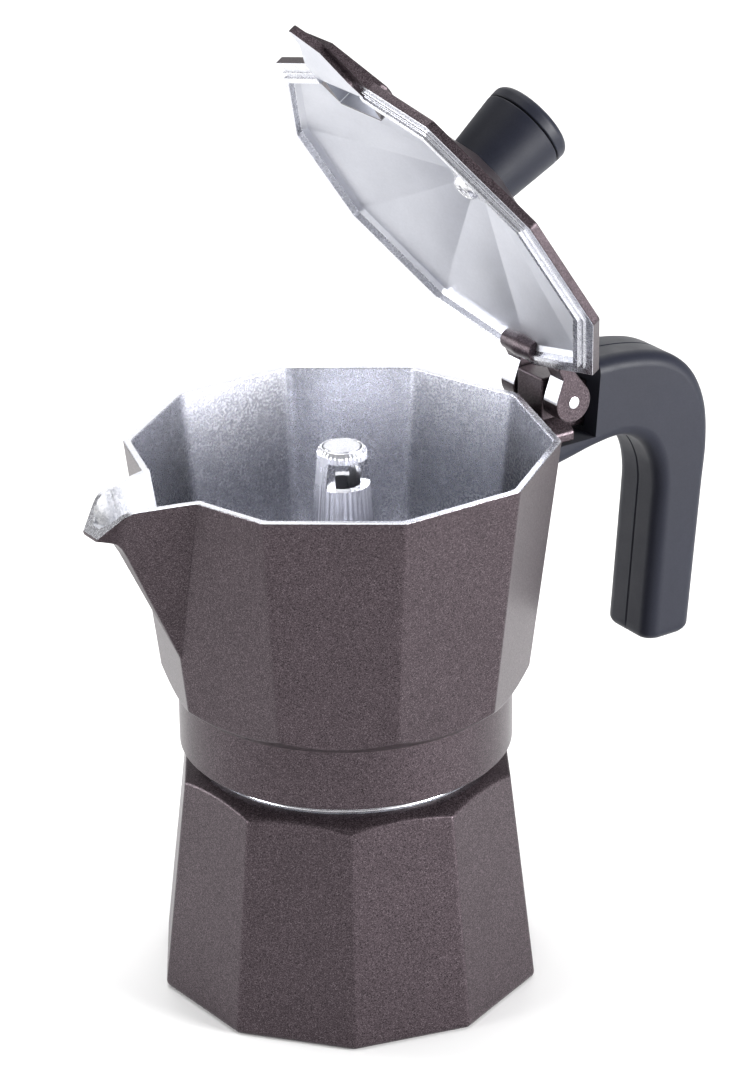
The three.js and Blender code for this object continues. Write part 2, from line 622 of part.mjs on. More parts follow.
const knobCap = () => toOpenLid( turned( [
	[ 0, KNOB_SEAM_Z - 2.7 ], [ 7.5, KNOB_SEAM_Z - 2.7 ], [ 7.5, KNOB_SEAM_Z + 0.3 ],
	[ KNOB_SEAM_R - 0.2, KNOB_SEAM_Z + 0.3 ], [ KNOB_SEAM_R, KNOB_SEAM_Z + 0.6 ],
	[ KNOB_SEAM_R - 0.3, KNOB_SEAM_Z + 2.2 ], [ KNOB_SEAM_R - 1.6, KNOB_SEAM_Z + 3.6 ],
	[ KNOB_SEAM_R - 3.8, KNOB_SEAM_Z + 4.5 ], [ 0, KNOB_TOP_Z ]
], 48 ) );

const knobInsert = () => toOpenLid( ring( 2.1, 3.2, KNOB_Z + 0.2, KNOB_Z + 8.6, 24 ) );
const knobScrew = () => toOpenLid( crossScrew( 3.5, 2, 1.95, 12.5 ).translate( [ 0, 0, 147.3 ] ) );
const knobWasher = () => toOpenLid( ring( 2.3, 5.2, 149.55, 150.05, 28 ) );

// ---- the moka pot -------------------------------------------------------------------------------

const pot = new THREE.Group();
pot.name = 'moka_pot';
pot.add(
	part( 'boiler', boiler(), PAINT ),
	part( 'valve_body', valveBody(), BRASS ),
	part( 'valve_washer', toValve( ring( 4.2, 6.4, 35.3, 36.1 ) ), RUBBER ),
	part( 'valve_nut', valveNut(), BRASS ),
	part( 'valve_plunger', valvePlunger(), STEEL ),
	part( 'valve_spring', valveSpring(), STEEL ),
	part( 'valve_retainer', toValve( ring( 1.3, 2.75, 47.5, 48.2, 24 ) ), BRASS ),
	part( 'funnel_cup', funnelCup(), ALUMINIUM ),
	part( 'funnel_tube', ring( TUBE_R - 0.7, TUBE_R, TUBE_FOOT_Z, 50.6 ), ALUMINIUM ),
	part( 'funnel_strainer', funnelStrainer(), ALUMINIUM ),
	part( 'gasket', ring( 28.2, 35, NECK_TOP_Z + 1.4, SEAT_Z - 0.3, 48 ), RUBBER ),
	part( 'filter_plate', filterPlate(), ALUMINIUM ),
	part( 'collector', collector(), PAINT ),
	part( 'column', column(), ALUMINIUM ),
	part( 'column_plug', columnPlug(), ALUMINIUM ),
	part( 'hinge_pin', hingePin(), STEEL ),
	part( 'handle', handle(), PLASTIC ),
	part( 'handle_screw', handleScrew(), STEEL ),
	part( 'lid', lid(), PAINT ),
	part( 'knob', knob(), PLASTIC ),
	part( 'knob_cap', knobCap(), PLASTIC ),
	part( 'knob_insert', knobInsert(), BRASS ),
	part( 'knob_screw', knobScrew(), STEEL ),
	part( 'knob_washer', knobWasher(), STEEL )
);

export default pot;
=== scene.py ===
"""A stovetop moka pot with its lid open: taupe painted aluminium outside, bare inside, dark plastic
handle and knob. Dimensions are millimetres in the pot's own frame, turned to metres when a mesh is made.
The handle points along +X, the spout along -X, and the origin is the centre of the boiler's base."""

import math

import bmesh
import bpy
from mathutils import Matrix, Vector


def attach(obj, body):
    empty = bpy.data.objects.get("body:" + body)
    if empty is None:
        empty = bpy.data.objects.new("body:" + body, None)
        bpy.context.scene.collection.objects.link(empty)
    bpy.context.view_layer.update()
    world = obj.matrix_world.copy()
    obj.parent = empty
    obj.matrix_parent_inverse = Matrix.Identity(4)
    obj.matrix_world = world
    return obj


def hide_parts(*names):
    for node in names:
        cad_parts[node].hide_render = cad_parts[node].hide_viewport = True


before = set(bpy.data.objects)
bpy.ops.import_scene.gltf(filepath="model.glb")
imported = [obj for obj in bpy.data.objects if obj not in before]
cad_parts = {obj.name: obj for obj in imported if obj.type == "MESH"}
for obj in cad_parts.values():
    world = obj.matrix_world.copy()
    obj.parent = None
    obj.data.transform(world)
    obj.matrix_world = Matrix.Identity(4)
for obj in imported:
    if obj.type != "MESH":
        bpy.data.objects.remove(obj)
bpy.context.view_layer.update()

MM = 0.001

# ---- dimensions ----------------------------------------------------------------------------------

FACETS = 10
STEP = 2 * math.pi / FACETS
FLAT = math.cos(STEP / 2)  # from a decagon's corner radius to its facet's

BASE_R, SHOULDER_R, SHOULDER_Z = 47.5, 41.1, 55.0
BOILER_TURN = 21.5
NECK_R, NECK_FOOT_Z, NECK_TOP_Z, NECK_BORE_R = 35.0, 57.4, 70.0, 31.3
BOILER_WALL = 3.4
SHOULDER_FALL = 7.4 / 3.1  # radius lost per height on the turned shoulder
SHOULDER_TOP_FALL = 4.4 / 2.4
PITCH, TURNS, THREAD_R, THREAD_Z = 4.0, 2, 0.9, 59.9
VALVE_DEG, VALVE_Z, BOSS_R, BOSS_OUT = BOILER_TURN + 54, 38.0, 7.6, 42.4

COLLAR_R, COLLAR_Z, COLLAR_TOP_Z, COLLAR_BORE_R = 40.2, 60.5, 75.9, 36.3
CUP_FOOT_R, CUP_CUT_RISE = 43.9, 0.805
RIM_R, RIM_Z = 51.5, 137.35
CUP_WALL, CUP_FLOOR_Z, SEAT_Z = 1.9, 80.5, 74.7
FLOOR_R = 11.0  # the floor's hole, under the column's foot
CUP_SLOPE = (RIM_R - CUP_FOOT_R) / (RIM_Z - COLLAR_TOP_Z)

LIP_X, LIP_HALF, NOSE_X, NOSE_HALF, NOSE_Z = -47.4, 12.3, -68.6, 3.5, 130.7
SPOUT_ROOT_X, SPOUT_STEPS = -38.0, 22

COLUMN_FOOT_R, COLUMN_TOP_R, COLUMN_TOP_Z, COLUMN_BORE_R = 10.2, 5.85, 136.0, 4.3
WINDOW_LOW, WINDOW_HIGH, WINDOW_DEPTH = 126.8, 133.4, 2.4
RIBS, RIB_HIGH = 34, 0.12

HINGE_X, HINGE_Z = 59.4, 136.7
KNUCKLE_HALF, EAR_IN, EAR_OUT, EAR_R = 5.0, 6.0, 11.3, 5.1
LUG_X, LUG_HALF, LUG_LOW, LUG_HIGH = 62.0, 8.5, 125.4, 131.3
TONGUE_X, TONGUE_HALF, TONGUE_LOW, TONGUE_HIGH = 81.0, 3.4, 126.5, 137.4

HANDLE_HALF, HANDLE_OUTER_R, HANDLE_INNER_R = 9.0, 3.6, 5.6
HANDLE_FRONT_X, FOOT_TOP_Z, HANDLE_SCREW_X = 68.0, 124.9, 74.0

LID_OPEN_DEG = 55.8
LID_R, LID_Z, LID_EDGE = 51.8, RIM_Z + 0.3, 2.3
LIP_R, ROOF_FOOT_R = 49.1, 47.4
ROOF_TOP_R, ROOF_TOP_Z, CEILING_R, CEILING_Z = 12.0, 152.7, 7.5, 150.3

KNOB_Z, KNOB_BASE_R, KNOB_SEAM_R, KNOB_SEAM_Z, KNOB_TOP_Z = 153.0, 9.3, 10.9, 168.2, 173.2

# ---- materials -----------------------------------------------------------------------------------


class Finish:
    """A node material built up from a few procedural layers over one Principled shader."""

    def __init__(self, name, **sockets):
        self.material = bpy.data.materials.new(name)
        self.material.use_nodes = True
        self.nodes = self.material.node_tree.nodes
        self.links = self.material.node_tree.links
        self.shader = self.nodes["Principled BSDF"]
        self.place = self.nodes.new("ShaderNodeTexCoord").outputs["Object"]
        self.height = None
        for socket, value in sockets.items():
            self.shader.inputs[socket.replace("_", " ")].default_value = value

    def noise(self, size, detail=3.0, stretch=(1, 1, 1)):
        """Noise whose features are about size millimetres, longer along an axis stretched below 1."""
        mapping = self.nodes.new("ShaderNodeMapping")
        mapping.inputs["Scale"].default_value = stretch
        self.links.new(self.place, mapping.inputs["Vector"])
        noise = self.nodes.new("ShaderNodeTexNoise")
        noise.inputs["Scale"].default_value = 1 / (size * MM)
        noise.inputs["Detail"].default_value = detail
        self.links.new(mapping.outputs["Vector"], noise.inputs["Vector"])
        return noise.outputs["Fac"]

    def cells(self, size):
        """One random number per cell of about size millimetres."""
        cell = self.nodes.new("ShaderNodeTexVoronoi")
        cell.inputs["Scale"].default_value = 1 / (size * MM)
        self.links.new(self.place, cell.inputs["Vector"])
        split = self.nodes.new("ShaderNodeSeparateColor")
        self.links.new(cell.outputs["Color"], split.inputs["Color"])
        return split.outputs["Red"]

    def ramp(self, value, *stops):
        """Turns a value into a colour through (position, grey or colour) stops."""
        node = self.nodes.new("ShaderNodeValToRGB")
        while len(node.color_ramp.elements) < len(stops):
            node.color_ramp.elements.new(0.5)
        for element, (position, colour) in zip(node.color_ramp.elements, stops):
            element.position = position
            element.color = (*colour, 1) if isinstance(colour, tuple) else (colour, colour, colour, 1)
        self.links.new(value, node.inputs["Fac"])
        return node.outputs["Color"]

    def mix(self, a, b, amount, how="MIX"):
        """Mixes two colours; amount is a number or an output."""
        node = self.nodes.new("ShaderNodeMix")
        node.data_type, node.blend_type = "RGBA", how
        for socket, value in (("A", a), ("B", b), ("Factor", amount)):
            target = next(s for s in node.inputs if s.name == socket and s.enabled)
            if isinstance(value, bpy.types.NodeSocket):
                self.links.new(value, target)
            else:
                target.default_value = (*value, 1) if isinstance(value, tuple) else value
        return next(s for s in node.outputs if s.enabled)

    def drive(self, socket, value):
        """Links an output to one of the shader's inputs."""
        self.links.new(value, self.shader.inputs[socket])

    def bump(self, value, depth, strength=1.0):
        """Raises the surface by value times depth millimetres, on top of any bump already there."""
        node = self.nodes.new("ShaderNodeBump")
        node.inputs["Distance"].default_value = depth * MM
        node.inputs["Strength"].default_value = strength
        self.links.new(value, node.inputs["Height"])
        if self.height:
            self.links.new(self.height, node.inputs["Normal"])
        self.height = node.outputs["Normal"]
        self.links.new(self.height, self.shader.inputs["Normal"])


def painted():
    """Taupe metallic paint: fine light and dark flakes under a satin coat, slightly uneven."""
    paint = Finish("taupe_metallic_paint", Metallic=0.65, Specular_IOR_Level=0.2,
                   Coat_Weight=0.06, Coat_Roughness=0.2)
    flakes = paint.ramp(paint.cells(0.17), (0.0, (0.015, 0.011, 0.013)), (0.3, (0.04, 0.03, 0.035)),
                        (0.8, (0.07, 0.053, 0.061)), (1.0, (0.12, 0.096, 0.108)))
    grain = paint.ramp(paint.noise(0.45, 4), (0.3, 0.9), (0.7, 1.06))
    cloud = paint.ramp(paint.noise(11, 2), (0.3, 0.92), (0.7, 1.0))
    colour = paint.mix(paint.mix(flakes, grain, 1.0, "MULTIPLY"), cloud, 1.0, "MULTIPLY")
    paint.drive("Base Color", colour)
    paint.drive("Roughness", paint.ramp(paint.noise(0.5), (0.2, 0.3), (0.8, 0.4)))
    paint.bump(paint.noise(0.3, 4), 0.012, 0.6)
    return paint.material


def bare():
    """Bare cast aluminium, its light bluish base colour partly painted light for the brightly lit inside of
    the pot: satin, softly mottled and faintly streaked.
    """
    metal = Finish("bare_aluminium", Metallic=1.0)
    # painted light: this near-white, bluish tone is raised above the metal's own tone to stand in for the
    # bright light inside the pot
    mottle = metal.ramp(metal.noise(16, 3), (0.3, (0.86, 0.865, 0.92)), (0.7, (0.92, 0.925, 0.965)))
    streaks = metal.ramp(metal.noise(1.6, 3, (1, 1, 0.06)), (0.3, 0.95), (0.7, 1.0))
    metal.drive("Base Color", metal.mix(mottle, streaks, 1.0, "MULTIPLY"))
    metal.drive("Roughness", metal.ramp(metal.noise(9, 2), (0.3, 0.21), (0.7, 0.3)))
    metal.bump(metal.noise(0.6, 2), 0.0012, 0.3)
    metal.bump(metal.noise(18, 1), 0.06, 0.3)
    return metal.material


def satin():
    """Bare aluminium dulled to an even satin."""
    metal = Finish("satin_aluminium", Metallic=1.0)
    mottle = metal.ramp(metal.noise(14, 3), (0.3, (0.55, 0.56, 0.605)), (0.7, (0.605, 0.615, 0.66)))
    grain = metal.ramp(metal.noise(0.7, 3), (0.3, 0.95), (0.7, 1.0))
    metal.drive("Base Color", metal.mix(mottle, grain, 1.0, "MULTIPLY"))
    metal.drive("Roughness", metal.ramp(metal.noise(9, 3), (0.3, 0.38), (0.7, 0.46)))
    metal.bump(metal.noise(0.6, 2), 0.004, 0.4)
    return metal.material


def sandy():
    """Bare aluminium as it left the mould: coarse bright grains."""
    metal = Finish("rough_cast_aluminium", Metallic=1.0)
    grains = metal.ramp(metal.cells(0.5), (0.0, (0.66, 0.67, 0.7)), (1.0, (0.95, 0.95, 0.97)))
    metal.drive("Base Color", grains)
    metal.drive("Roughness", metal.ramp(metal.noise(0.8), (0.3, 0.3), (0.7, 0.45)))
    metal.bump(metal.noise(0.75, 2), 0.04, 0.8)
    return metal.material


def machined():
    """Freshly cut aluminium: bright, with very fine tool lines."""
    metal = Finish("machined_aluminium", Metallic=1.0, Anisotropic=0.3)
    tone = metal.ramp(metal.noise(2.5), (0.3, (0.6, 0.605, 0.65)), (0.7, (0.7, 0.705, 0.745)))
    metal.drive("Base Color", tone)
    metal.drive("Roughness", metal.ramp(metal.noise(0.6), (0.3, 0.2), (0.7, 0.32)))
    metal.bump(metal.noise(0.3, 2, (0.3, 0.3, 1)), 0.006, 0.5)
    return metal.material


def moulded():
    """Matte blue-black plastic with the fine grain of its mould and a soft sheen at the edges."""
    plastic = Finish("moulded_plastic", Metallic=0.0, Specular_IOR_Level=0.2,
                     Sheen_Weight=0.08, Sheen_Roughness=0.4)
    plastic.drive("Base Color", plastic.mix(
        plastic.ramp(plastic.noise(0.4, 4), (0.3, (0.007, 0.0082, 0.0155)), (0.7, (0.0105, 0.0118, 0.021))),
        plastic.ramp(plastic.noise(22, 2), (0.3, 0.88), (0.7, 1.0)), 1.0, "MULTIPLY"))
    plastic.drive("Roughness", plastic.ramp(plastic.noise(5, 3), (0.3, 0.44), (0.7, 0.54)))
    plastic.bump(plastic.noise(0.22, 3), 0.012, 0.7)
    return plastic.material


def plated():
    """Bright plated steel with faint handling marks."""
    steel = Finish("plated_steel", Metallic=1.0)
    steel.drive("Base Color", steel.ramp(steel.noise(1.6), (0.3, (0.6, 0.6, 0.62)), (0.7, (0.78, 0.78, 0.8))))
    steel.drive("Roughness", steel.ramp(steel.noise(0.7), (0.3, 0.16), (0.7, 0.34)))
    steel.bump(steel.noise(0.4, 2), 0.006, 0.4)
    return steel.material


def brassy():
    """Turned brass, slightly darkened between its tool lines."""
    brass = Finish("turned_brass", Metallic=1.0)
    tone = brass.ramp(brass.noise(1.3), (0.3, (0.52, 0.36, 0.14)), (0.7, (0.72, 0.53, 0.24)))
    brass.drive("Base Color", tone)
    brass.drive("Roughness", brass.ramp(brass.noise(0.8), (0.3, 0.22), (0.7, 0.38)))
    brass.bump(brass.noise(0.25, 2), 0.008, 0.4)
    return brass.material


def silicone():
    """Translucent-looking white silicone, faintly dusty."""
    seal = Finish("white_silicone", Subsurface_Weight=0.15, Subsurface_Scale=0.002)
    seal.drive("Base Color", seal.ramp(seal.noise(3), (0.3, (0.72, 0.7, 0.64)), (0.7, (0.8, 0.79, 0.74))))
    seal.drive("Roughness", seal.ramp(seal.noise(1.0), (0.3, 0.45), (0.7, 0.6)))
    seal.bump(seal.noise(0.3), 0.01, 0.5)
    return seal.material


PAINT, BARE, SATIN, SANDY, MACHINED = painted(), bare(), satin(), sandy(), machined()
PLASTIC, STEEL, BRASS, SEAL = moulded(), plated(), brassy(), silicone()

# ---- shapes --------------------------------------------------------------------------------------


def smooth_min(a, b, soft):
    """The lesser of two numbers, easing from one to the other where they are closer than soft."""
    near = max(soft - abs(a - b), 0) / soft
    return min(a, b) - near * near * soft / 4


def reach(angle, turn=0.0, ease=0.006):
    """How far a decagon of corner radius 1 reaches at an angle, its corners eased."""
    off = (angle - math.radians(turn)) % STEP - STEP / 2
    return smooth_min(FLAT / math.cos(off), FLAT / math.cos(STEP - abs(off)), ease)


def facet_angles(turn=0.0):
    """Angles round a decagon, close together at its corners."""
    half = [0, 0.35, 0.75, 1.25, 2, 3.2, 5, 7, 9, 11, 13, 15, 18]
    offsets = half + [36 - a for a in reversed(half[1:-1])]
    return [math.radians(turn + 36 * k + a) for k in range(FACETS) for a in offsets]


def even_angles(count):
    """Angles at even steps all the way round."""
    return [2 * math.pi * i / count for i in range(count)]


def filleted(corners, steps=4):
    """Points along a line through (x, y) or (x, y, radius) corners, rounded where a radius is given."""
    points = []
    for i, corner in enumerate(corners):
        here = Vector(corner[:2])
        radius = corner[2] if len(corner) > 2 else 0
        if not radius:
            points.append(tuple(here))
            continue
        to_last = Vector(corners[i - 1][:2]) - here
        to_next = Vector(corners[(i + 1) % len(corners)][:2]) - here
        half = to_last.angle(to_next) / 2
        longest = 0.45 * min(to_last.length, to_next.length)
        cut = min(radius / math.tan(half), longest)
        start, end = here + to_last.normalized() * cut, here + to_next.normalized() * cut
        centre = here + (to_last.normalized() + to_next.normalized()).normalized() * cut / math.cos(half)
        first = math.atan2(start.y - centre.y, start.x - centre.x)
        last = math.atan2(end.y - centre.y, end.x - centre.x)
        sweep = (last - first + math.pi) % (2 * math.pi) - math.pi
        r = (start - centre).length
        for k in range(steps + 1):
            a = first + sweep * k / steps
            points.append((centre.x + r * math.cos(a), centre.y + r * math.sin(a)))
    return points


def mesh_of(name, points, faces, materials, slots=None, smooth=True):
    """An object made from millimetre points."""
    mesh = bpy.data.meshes.new(name)
    mesh.from_pydata([tuple(v * MM for v in p) for p in points], [], faces)
    for material in materials:
        mesh.materials.append(material)
    if slots:
        mesh.polygons.foreach_set("material_index", slots)
    mesh.polygons.foreach_set("use_smooth", [smooth] * len(mesh.polygons))
    mesh.validate()
    piece = bpy.data.objects.new(name, mesh)
    bpy.context.scene.collection.objects.link(piece)
    return piece


def turned(name, outline, angles, materials, slot_at=None):
    """A body about Z. outline(angle) gives the same number of (radius, height) points at every angle, running
    anticlockwise, from axis to axis or in a loop. slot_at(row) picks the material of a row of faces."""
    lines = [outline(a) for a in angles]
    rows = len(lines[0])
    poles = lines[0][0][0] == 0
    points, index = [], []
    for i, (angle, line) in enumerate(zip(angles, lines)):
        index.append([])
        for k, (r, z) in enumerate(line):
            if poles and k in (0, rows - 1) and i:
                index[i].append(index[0][k])
                continue
            index[i].append(len(points))
            points.append((r * math.cos(angle), r * math.sin(angle), z))
    faces, slots = [], []
    for i in range(len(angles)):
        j = (i + 1) % len(angles)
        for k in range(rows - 1 if poles else rows):
            m = (k + 1) % rows
            face = [index[i][k], index[j][k], index[j][m], index[i][m]]
            faces.append(list(dict.fromkeys(face)))
            slots.append(slot_at(k) if slot_at else 0)
    return mesh_of(name, points, faces, materials, slots)


def lathe(name, corners, material, count=96, steps=4):
    """A round body about Z from (radius, height, fillet) corners."""
    line = filleted(corners, steps)
    return turned(name, lambda _: line, even_angles(count), [material])


def skinned(name, rings, materials, slot_of=None):
    """A body skinned over rings of (x, y, z) points, its ends closed. slot_of(centre, normal) picks the
    material of a face."""
    count = len(rings[0])
    points = [p for ring in rings for p in ring]
    faces = []
    for k in range(len(rings) - 1):
        for i in range(count):
            j = (i + 1) % count
            faces.append([k * count + i, k * count + j, (k + 1) * count + j, (k + 1) * count + i])
    faces.append(list(reversed(range(count))))
    faces.append([(len(rings) - 1) * count + i for i in range(count)])
    piece = mesh_of(name, points, faces, materials)
    outward(piece)
    if slot_of:
        for face in piece.data.polygons:
            face.material_index = slot_of(face.center / MM, face.normal)
    return piece


def outward(piece):
    """Turns the faces of a closed mesh outwards."""
    made = bmesh.new()
    made.from_mesh(piece.data)
    if made.calc_volume(signed=True) < 0:
        bmesh.ops.reverse_faces(made, faces=made.faces)
    made.to_mesh(piece.data)
    made.free()


def slab(name, outline, low, high, material, fillet=0.5):
    """A shape drawn in X and Z, given its thickness along Y, its edges eased."""
    rings = [[(x, y, z) for x, z in outline] for y in (low, high)]
    piece = skinned(name, rings, [material])
    ease_edges(piece, fillet)
    return piece


def ease_edges(piece, width, angle=32, segments=3):
    """Rounds every edge sharper than angle."""
    bevel = piece.modifiers.new("eased edges", "BEVEL")
    bevel.width, bevel.segments = width * MM, segments
    bevel.limit_method, bevel.angle_limit = "ANGLE", math.radians(angle)
    bevel.use_clamp_overlap = True
    bevel.harden_normals = False


def settle(piece):
    """Applies a piece's modifiers."""
    graph = bpy.context.evaluated_depsgraph_get()
    made = bpy.data.meshes.new_from_object(
        piece.evaluated_get(graph), preserve_all_data_layers=True, depsgraph=graph)
    piece.modifiers.clear()
    piece.data = made


def carve(piece, tool, operation="DIFFERENCE"):
    """Cuts a tool out of a piece, or joins it on. The tool's surfaces keep the tool's materials."""
    cut = piece.modifiers.new("carve", "BOOLEAN")
    cut.operation, cut.solver, cut.material_mode, cut.object = operation, "EXACT", "TRANSFER", tool
    settle(piece)
    bpy.data.objects.remove(tool)


def shade(piece, angle=34):
    """Smooth shading that keeps flat faces flat and edges sharper than angle crisp."""
    piece.data.polygons.foreach_set("use_smooth", [True] * len(piece.data.polygons))
    piece.data.set_sharp_from_angle(angle=math.radians(angle))
    piece.modifiers.new("even normals", "WEIGHTED_NORMAL").keep_sharp = True
    return piece


def place(piece, body, slot, *nodes):
    """Shades a finished piece, hangs it on its body and hides the CAD parts it stands in for."""
    shade(piece)
    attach(piece, body)
    if nodes:
        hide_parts(*nodes)
    return piece


HINGE = Vector((HINGE_X, 0, HINGE_Z)) * MM
OPENING = (Matrix.Translation(HINGE) @ Matrix.Rotation(math.radians(LID_OPEN_DEG), 4, "Y")
           @ Matrix.Translation(-HINGE))
VALVE = (Matrix.Translation((0, 0, VALVE_Z * MM)) @ Matrix.Rotation(math.radians(VALVE_DEG), 4, "Z")
         @ Matrix.Rotation(math.pi / 2, 4, "Y"))


def swing(piece):
    """Moves a piece drawn with the lid closed to the stored open lid."""
    piece.data.transform(OPENING)
    return piece


def between(a, b, shares):
    """Values from a to b at the given shares of the way."""
    return [a + (b - a) * s for s in shares]


def helix_rod(name, radius, rod, start, turns, material, sides=10, steps=90):
    """A round rod that climbs a helix about Z."""
    rings = []
    total = round(steps * turns)
    for i in range(total + 1):
        angle = 2 * math.pi * turns * i / total
        z = start + PITCH * turns * i / total
        size = rod * min(1, 0.15 + 12 * min(i, total - i) / steps)
        ring = []
        for t in even_angles(sides):
            r = radius + size * math.cos(t)
            ring.append((r * math.cos(angle), r * math.sin(angle), z + size * math.sin(t)))
        rings.append(ring)
    return skinned(name, rings, [material])


# ---- boiler --------------------------------------------------------------------------------------


def boiler_outline(angle):
    """One side of the boiler: its facet, the turned shoulder that cuts it in a scallop, the neck and the
    inside."""
    out = reach(angle, BOILER_TURN, 0.008)
    slope = (BASE_R - SHOULDER_R) / SHOULDER_Z

    def facet(z):
        return (BASE_R - slope * z) * out

    def shoulder(z):
        fall = SHOULDER_FALL if z < SHOULDER_Z else SHOULDER_TOP_FALL
        return SHOULDER_R + fall * (SHOULDER_Z - z)

    cross = (SHOULDER_R + SHOULDER_FALL * SHOULDER_Z - BASE_R * out) / (SHOULDER_FALL - slope * out)
    up = between(4, cross, [0, 0.3, 0.6, 0.85, 0.95, 0.985, 0.992, 0.996])
    over = between(cross, NECK_FOOT_Z, [0, 0.06, 0.12, 0.2, 0.3, 0.45, 0.65, 0.82, 1])
    wall = [(smooth_min(facet(z), shoulder(z), 0.9), z) for z in up + over]
    foot = filleted([(0, 0), (facet(0), 0, 2.4), (facet(4), 4)], 5)[:-1]
    inner_foot = BASE_R * FLAT - BOILER_WALL
    rest = filleted([
        wall[-1], (NECK_R, NECK_FOOT_Z, 0.5), (NECK_R, NECK_TOP_Z, 0.5), (NECK_BORE_R, NECK_TOP_Z, 0.5),
        (NECK_BORE_R, NECK_FOOT_Z, 0.8), (SHOULDER_R * FLAT - BOILER_WALL, SHOULDER_Z - 4, 2),
        (inner_foot, BOILER_WALL + 3, 2), (inner_foot - 3, BOILER_WALL, 2), (0, BOILER_WALL)
    ], 4)[1:]
    return foot + wall + rest


def make_boiler():
    wall_end = len(boiler_outline(0)) - 7 * 5 - 2  # then seven fillets of five points, and the axis
    boiler = turned("boiler_body", boiler_outline, facet_angles(BOILER_TURN), [PAINT, BARE],
                    lambda row: 1 if row > wall_end else 0)
    boss = lathe("boss", [(0, 36), (BOSS_R + 1.6, 36), (BOSS_R, BOSS_OUT, 0.8), (0, BOSS_OUT)], PAINT, 64)
    boss.data.transform(VALVE)
    carve(boiler, boss, "UNION")
    bore = lathe("bore", [(0, 30), (4.3, 30), (4.3, 50), (0, 50)], BARE, 48)
    bore.data.transform(VALVE)
    carve(boiler, bore)
    place(boiler, "base_unit", "paint", "boiler")
    thread = helix_rod("boiler_thread", NECK_R, THREAD_R, THREAD_Z, TURNS, BARE)
    place(thread, "base_unit", "bare_aluminium")


# ---- collector -----------------------------------------------------------------------------------

CUP_ROWS_UP = [0, 0.25, 0.5, 0.65, 0.78, 0.88, 0.95]
CUP_ROWS_ON = [0, 0.004, 0.01, 0.018, 0.03, 0.06, 0.25, 0.5, 0.75]


def cup_outline(angle):
    """One side of the collector, in a loop: under the seat, down the bore, up the collar, over the turned
    cut, up the facet, over the rim, down the inside and across the floor to the column."""
    out = reach(angle, 0, 0.006)
    inn = reach(angle, 0, 0.02)

    def facet(z):
        return (CUP_FOOT_R + CUP_SLOPE * (z - COLLAR_TOP_Z)) * out

    def cut(z):
        return COLLAR_R + (z - COLLAR_TOP_Z) / CUP_CUT_RISE

    def inside(z):
        return (CUP_FOOT_R + CUP_SLOPE * (z - COLLAR_TOP_Z) - CUP_WALL) * inn

    cross = COLLAR_TOP_Z + (CUP_FOOT_R * out - COLLAR_R) / (1 / CUP_CUT_RISE - CUP_SLOPE * out)
    rows = between(COLLAR_TOP_Z + 0.35, cross, CUP_ROWS_UP) + between(cross, RIM_Z - 1, CUP_ROWS_ON)
    wall = [(smooth_min(facet(z), cut(z), 0.5), z) for z in rows]
    under, groove = 30.5, COLLAR_R - 0.75
    collar = filleted([
        (FLOOR_R, CUP_FLOOR_Z - 3), (under, CUP_FLOOR_Z - 3), (under, SEAT_Z), (COLLAR_BORE_R, SEAT_Z),
        (COLLAR_BORE_R, COLLAR_Z, 0.3), (groove, COLLAR_Z, 0.25), (groove, COLLAR_Z + 0.85, 0.1),
        (COLLAR_R, COLLAR_Z + 0.85, 0.22), (COLLAR_R, COLLAR_TOP_Z, 0.4), wall[0]
    ], 4)[:-1]
    rim = filleted([
        wall[-1], (facet(RIM_Z), RIM_Z, 0.3), (inside(RIM_Z), RIM_Z, 0.3),
        (inside(CUP_FLOOR_Z), CUP_FLOOR_Z, 3.2), (FLOOR_R, CUP_FLOOR_Z)
    ], 6)[1:]
    return collar + wall + rim


def inside_reach(z, angle, gap=0.03):
    """Radius just inside the cup's inner wall."""
    return (CUP_FOOT_R + CUP_SLOPE * (z - COLLAR_TOP_Z) - CUP_WALL) * reach(angle, 0, 0.02) - gap


def lip_half(x):
    """Half the outside width of the spout's lip at x."""
    return smooth_min(LIP_HALF + (x - LIP_X) * 0.31, NOSE_HALF + (x - NOSE_X) * 0.67, 0.8)


def lip_top(x):
    """Height of the spout's lip at x: level, then falling to the nose."""
    return smooth_min(RIM_Z + min(0, x + 50) * 0.03, NOSE_Z + (x - NOSE_X), 1.6)


def keel(x):
    """Height of the spout's keel at x: a straight steep line that turns out under the nose."""
    return smooth_min(104 - (x + 51) * 2.118, 127.3 - (x + 62) * 0.409, 3.0)


def spout_ring(x, half, top, keel_half, foot, ease_top, ease_keel):
    """A four-cornered section of the spout, wide at the top and narrow at the foot."""
    outline = filleted([(half, top, ease_top), (-half, top, ease_top),
                        (-keel_half, foot, ease_keel), (keel_half, foot, ease_keel)], 4)
    return [(x, y, z) for y, z in outline]


def keel_share(x):
    """How far along its keel the spout is at x: 0 at the wall, 1 near the nose."""
    return max(0, (x + 46.4) / -22.2)


def spout_outside():
    """The spout as a full wedge: flat sides, a narrow keel and a level top."""
    rings = []
    for i in range(SPOUT_STEPS + 1):
        x = SPOUT_ROOT_X + i * (NOSE_X - SPOUT_ROOT_X) / SPOUT_STEPS
        foot = min(keel(x), lip_top(x) - 0.8)
        keel_half = 0.5 + 2.3 * keel_share(x)
        rings.append(spout_ring(x, min(lip_half(x), 12.6), lip_top(x), keel_half, foot, 0.3, 0.7))
    return skinned("spout_outside", rings, [PAINT, MACHINED],
                   lambda centre, normal: 1 if normal.z > 0.5 and centre.x > NOSE_X + 0.1 else 0)


